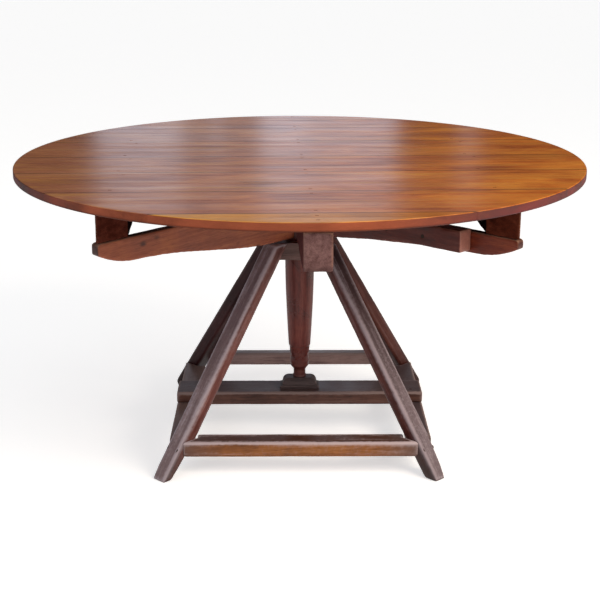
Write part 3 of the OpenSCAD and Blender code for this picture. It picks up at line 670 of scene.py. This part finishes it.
def make_stand():
    for seed, (leg, angle) in enumerate(LEG_ANGLES.items(), 1):
        a = radians(angle)
        outwards = (cos(a) * cos(LEG_LEAN), sin(a) * cos(LEG_LEAN), sin(LEG_LEAN))
        up_the_leg = (-sin(LEG_LEAN) * cos(a), -sin(LEG_LEAN) * sin(a), cos(LEG_LEAN))
        tones, outer, rub = LEG_TONES[leg]
        toe = (cos(a) * TOE_REACH, sin(a) * TOE_REACH, 0)
        cuts = LEG_WEAR.get(leg, []) + [(toe, (cos(a), sin(a), TOE_SLOPE))]
        oak = old_timber(f"stained_oak_{leg}", middle_of(leg), up_the_leg, tones, seed, gloss=0.34,
                         faces=[(outwards, *outer)], foot=0.2, rub=rub,
                         pitted=0.45 if leg == "leg_front_right" else 0.15,
                         **(FRONT_LEG_RUB_AND_HIGHLIGHT if "front" in leg else BACK_LEG_RUB_AND_HIGHLIGHT))
        worn_copy(leg, "stand", oak, rounding=28, cuts=cuts,
                  pegs=("head_pegs", "stretcher_pegs"), toe=True)
    for seed, (rail, (along, tones, top_tone, strength)) in enumerate(RAIL_TONES.items(), 6):
        oak = old_timber(f"stained_oak_{rail}", middle_of(rail), along, tones, seed, gloss=0.38,
                         faces=[(UP, top_tone, top_tone, strength)], rub_full=0.6,
                         **(FRONT_RAIL_RUB_AND_HIGHLIGHT if rail == "stretcher_front" else RAIL_RUB_AND_HIGHLIGHT))
        worn_copy(rail, "stand", oak, rounding=12,
                  pegs=("stretcher_pegs", "crossing_pegs", "boss_pegs"))
    oak = old_timber("stained_oak_head_block", middle_of("head_block"), LENGTHWAYS, HEAD_TONES, seed=12)
    worn_copy("head_block", "stand", oak, voxel_mm=2, level=1, pegs=("head_pegs",))
    oak = old_timber("stained_oak_pivot_boss", middle_of("pivot_boss"), LENGTHWAYS, BOSS_TONES, seed=13,
                     faces=[(UP, BOSS_TOP_TONE, BOSS_TOP_TONE, 0.7)])
    worn_copy("pivot_boss", "stand", oak, voxel_mm=1.2, rounding=3, hewn_mm=0.4, nicked_mm=0.3,
              level=1)
    finish_nodes(end_grain(), "head_pegs", "stretcher_pegs", "crossing_pegs", "boss_pegs")


# Revolving top

# Each timber: the angle of its grain, its three tones, and its sides of another tone, as the direction that
# a side looks, its tone and how strong that is. The bearers' dark tops and the side battens' near-black inner
# sides are painted shade
# Painted shade on the bearers' tops, under the planks
SHADED_BEARER_TOP = (UP, "#20110d", 0.9)
UNDERFRAME = {
    "bearer_long": (45, ("#6c301c", "#a0563a", "#bd7246"), [SHADED_BEARER_TOP, ((-0.7, -0.7, 0), "#2a1c1a", 0.9)]),
    "bearer_short": (135, ("#401a10", "#6c2a18", "#904628"), [SHADED_BEARER_TOP, ((0.7, -0.7, 0), "#3a2420", 0.8)]),
    "stiffener_front": (135, ("#34140c", "#58231a", "#764238"), [((0.7, -0.7, 0), "#9a675b", 0.9)]),
    "stiffener_back": (135, ("#34140c", "#58231a", "#764238"), []),
    "batten_left": (90, ("#2f130f", "#50251c", "#6c382c"), [((0.86, 0.51, 0), "#171012", 0.95)]),
    "batten_right": (90, ("#2f130e", "#54261a", "#6e3828"), [((-0.86, 0.51, 0), "#171012", 0.95)]),
    "batten_middle": (90, ("#452b2a", "#694d4b", "#876662"), [((-1, 0, 0), "#55302f", 0.9)])}
COLUMN_TONES = ("#351414", "#6b3029", "#8c4c3e")


def make_underframe():
    for seed, (node, (angle, tones, sides)) in enumerate(UNDERFRAME.items(), 20):
        turned = radians(angle) + TOP_TURN
        faces = [(direction, tone, tone, strength) for direction, tone, strength in sides]
        oak = old_timber(f"waxed_oak_{node}", middle_of(node), (cos(turned), sin(turned), 0), tones, seed,
                         gloss=0.38, faces=faces, rub="#8d6a58", rub_from=0.5, rub_full=2.0,
                         specular=0.0 if "batten" in node else 0.25,
                         knots=0.75 if node == "bearer_long" else 0.0)
        worn_copy(node, "revolving_top", oak, voxel_mm=3,
                  pegs=("batten_pegs", "column_pins"))
    finish_nodes(end_grain(), "batten_pegs", "column_pins")
    finish_nodes(wrought_iron(), "stiffener_nails", "plank_nails")


def make_column():
    # The column darkens towards both ends, by the head block and the boss: dirt and painted shade
    oak = old_timber("turned_oak_column", middle_of("column"), UP, COLUMN_TONES, seed=31, gloss=0.30,
                     rub_from=0.5, rub_full=2.5, grime_full=-0.6, ends=("#2e1b1a", 0.13, 0.27))
    worn_copy("column", "revolving_top", oak, voxel_mm=1.35, rounding=1, hewn_mm=0,
              nicked_mm=0, level=1, pegs=("column_pins",), reach=90)


RIM_ROUND_MM = 3.2
RIM_SIDES = 240
JOINT_ROUND_MM = 0.7
# A joint's arrises are the edges that lie on it, run along it and are longer than this
ON_JOINT_MM = 0.1
STRAIGHT = 0.01
SHORTEST_JOINT = 0.2
# The play round a nail, how far below the highest point its head's face may lie, and how far it is raised
NAIL_PLAY_MM = 0.1
HEAD_FACE_MM = 0.2
HEAD_RAISE_MM = 2
# How far apart the planks' patterns start
PLANK_SEED_STEP = 1.7
# The planks' tones at their left and right ends, the right ones brighter with painted light: the front plank
# is bleached golden but for its right end
GOLDEN = ("#945e14", "#c88a24", "#e4a638")
BROWN = ("#80483a", "#ae6e4c", "#cc9064")
ORANGE = ("#7a3418", "#c46a24", "#f09c3a")
PLANK_TONES = [(GOLDEN, ORANGE)] + [(BROWN, ORANGE)] * 6


def round_disc():
    """The whole top as one disc with a rounded rim, before it is cut into planks."""
    bpy.ops.mesh.primitive_cylinder_add(vertices=RIM_SIDES, radius=TOP_R, depth=TOP_Z - TOP_UNDER,
                                        location=(0, 0, (TOP_Z + TOP_UNDER) / 2), end_fill_type="NGON")
    disc = bpy.context.object
    bpy.ops.object.transform_apply()
    with editing(disc, "DESELECT"):
        mesh = bmesh.from_edit_mesh(disc.data)
        for edge in mesh.edges:
            edge.select_set(edge.verts[0].co.z == edge.verts[1].co.z)
        bpy.ops.mesh.bevel(offset=RIM_ROUND_MM * MM, segments=4, affect="EDGES")
    return disc


def plank_joints():
    """Distances of the planks' edges from the middle, front to back, in the top's own frame."""
    turn = Matrix.Rotation(-TOP_TURN, 3, "Z")
    edges = []
    for node in PLANKS:
        across = [(turn @ v.co).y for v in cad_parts[node].data.vertices]
        edges.append((min(across), max(across)))
    return [edges[0][0] - MM] + [e[1] for e in edges[:-1]] + [edges[-1][1] + MM]


def nail_holes():
    """The nails, a little fattened and with their heads raised through the top, to cut their holes with."""
    holes = copy_of("plank_nails")
    with editing(holes):
        bpy.ops.transform.shrink_fatten(value=NAIL_PLAY_MM * MM)
        bpy.ops.mesh.select_all(action="DESELECT")
        mesh = bmesh.from_edit_mesh(holes.data)
        highest = max(v.co.z for v in mesh.verts)
        for v in mesh.verts:
            if v.co.z > highest - HEAD_FACE_MM * MM:
                v.co.z += HEAD_RAISE_MM * MM
        bmesh.update_edit_mesh(holes.data)
    return holes


def make_planks():
    disc = round_disc()
    turn = Matrix.Rotation(TOP_TURN, 3, "Z")
    front = turn @ Vector((0, -1, 0))
    holes = nail_holes()
    joints = plank_joints()
    for i, node in enumerate(PLANKS):
        near, far = joints[i], joints[i + 1]
        plank = twin(disc)
        plank.name = "planed_" + node
        with editing(plank):
            for y, outwards in ((near, -1), (far, 1)):
                if abs(y) < TOP_R:
                    bpy.ops.mesh.select_all(action="SELECT")
                    bpy.ops.mesh.bisect(plane_co=turn @ Vector((0, y, 0)), use_fill=True, clear_outer=True,
                                        plane_no=turn @ Vector((0, outwards, 0)))
            bpy.ops.mesh.select_all(action="DESELECT")
            mesh = bmesh.from_edit_mesh(plank.data)
            for edge in mesh.edges:
                start, end = (v.co for v in edge.verts)
                along = abs((start - end).normalized().dot(front)) < STRAIGHT
                on_joint = any(abs(-start.dot(front) - y) < ON_JOINT_MM * MM for y in (near, far))
                edge.select_set(along and on_joint and edge.calc_length() > SHORTEST_JOINT)
            bpy.ops.mesh.bevel(offset=JOINT_ROUND_MM * MM, segments=2, affect="EDGES")
        put_on(plank, "BOOLEAN", object=holes, operation="DIFFERENCE", solver="EXACT")
        hold(plank)
        bpy.ops.object.shade_smooth_by_angle(angle=radians(35))
        put_on(plank, "WEIGHTED_NORMAL", keep_sharp=True)
        middle = turn @ Vector((0, (near + far) / 2, TOP_Z))
        cherry = waxed_plank(f"waxed_cherry_{node}", middle, (far - near) / 2, *PLANK_TONES[i],
                             seed=PLANK_SEED_STEP * i)
        dress(plank, "revolving_top", cherry, node)
    bpy.data.objects.remove(disc)
    bpy.data.objects.remove(holes)


# Camera and studio

def add_camera():
    bpy.ops.object.camera_add(location=CAMERA_AT)
    camera = bpy.context.object
    camera.name = "camera"
    camera.data.lens = LENS_MM
    camera.data.sensor_width = SENSOR_MM
    camera.data.clip_end = CAMERA_REACH
    level = Euler((pi / 2 - CAMERA_DOWN, 0, -CAMERA_RIGHT)).to_matrix()
    camera.rotation_euler = (level @ Euler((0, 0, CAMERA_ROLL)).to_matrix()).to_euler()
    bpy.context.scene.camera = camera


def add_softbox(name, place, target, width, height, watts, colour):
    """A soft light that the waxed top doesn't mirror as a glare."""
    bpy.ops.object.light_add(type="AREA", location=place)
    box = bpy.context.object
    box.name = name
    box.data.shape = "RECTANGLE"
    box.data.size = width
    box.data.size_y = height
    box.data.energy = watts
    box.data.color = linear(colour)[:3]
    box.visible_glossy = False
    box.rotation_euler = (Vector(target) - box.location).to_track_quat("-Z", "Y").to_euler()


def light_world():
    """White to the camera and in reflections; a plain grey fill for the diffuse light."""
    world = bpy.data.worlds.new("studio")
    bpy.context.scene.world = world
    world.use_nodes = True
    tree = world.node_tree
    tree.nodes.clear()
    strength = add(tree, "MapRange", {"Value": seen_plainly(tree), "To Min": FILL, "To Max": 1.0})
    sky = add(tree, "Background", {"Color": (1, 1, 1, 1), "Strength": strength})
    add(tree, "OutputWorld", {"Surface": sky})


def add_card(name, turn, material):
    """A painted card that only reflections see."""
    bpy.ops.mesh.primitive_plane_add(size=1, location=(0, CARD_AT, CARD_TOP / 2), rotation=(pi / 2, 0, 0))
    card = bpy.context.object
    card.name = name
    card.scale = (CARD_WIDTH, CARD_HEIGHT, 1)
    bpy.ops.object.transform_apply()
    card.rotation_euler.z = turn
    card.data.materials.append(material)
    card.visible_camera = card.visible_diffuse = card.visible_shadow = False
    card.visible_transmission = card.visible_volume_scatter = False


def make_studio():
    bpy.ops.mesh.primitive_plane_add(size=FLOOR_SIZE, location=(0, 0, 0))
    floor = bpy.context.object
    floor.name = "floor"
    floor.data.materials.append(studio_floor())
    for lamp in LAMPS:
        add_softbox(*lamp)
    light_world()
    card = painted_card()
    for turn in range(0, 360, 90):
        add_card(f"card_{turn}", radians(turn), card)


add_camera()
make_studio()
make_stand()
make_underframe()
make_column()
make_planks()
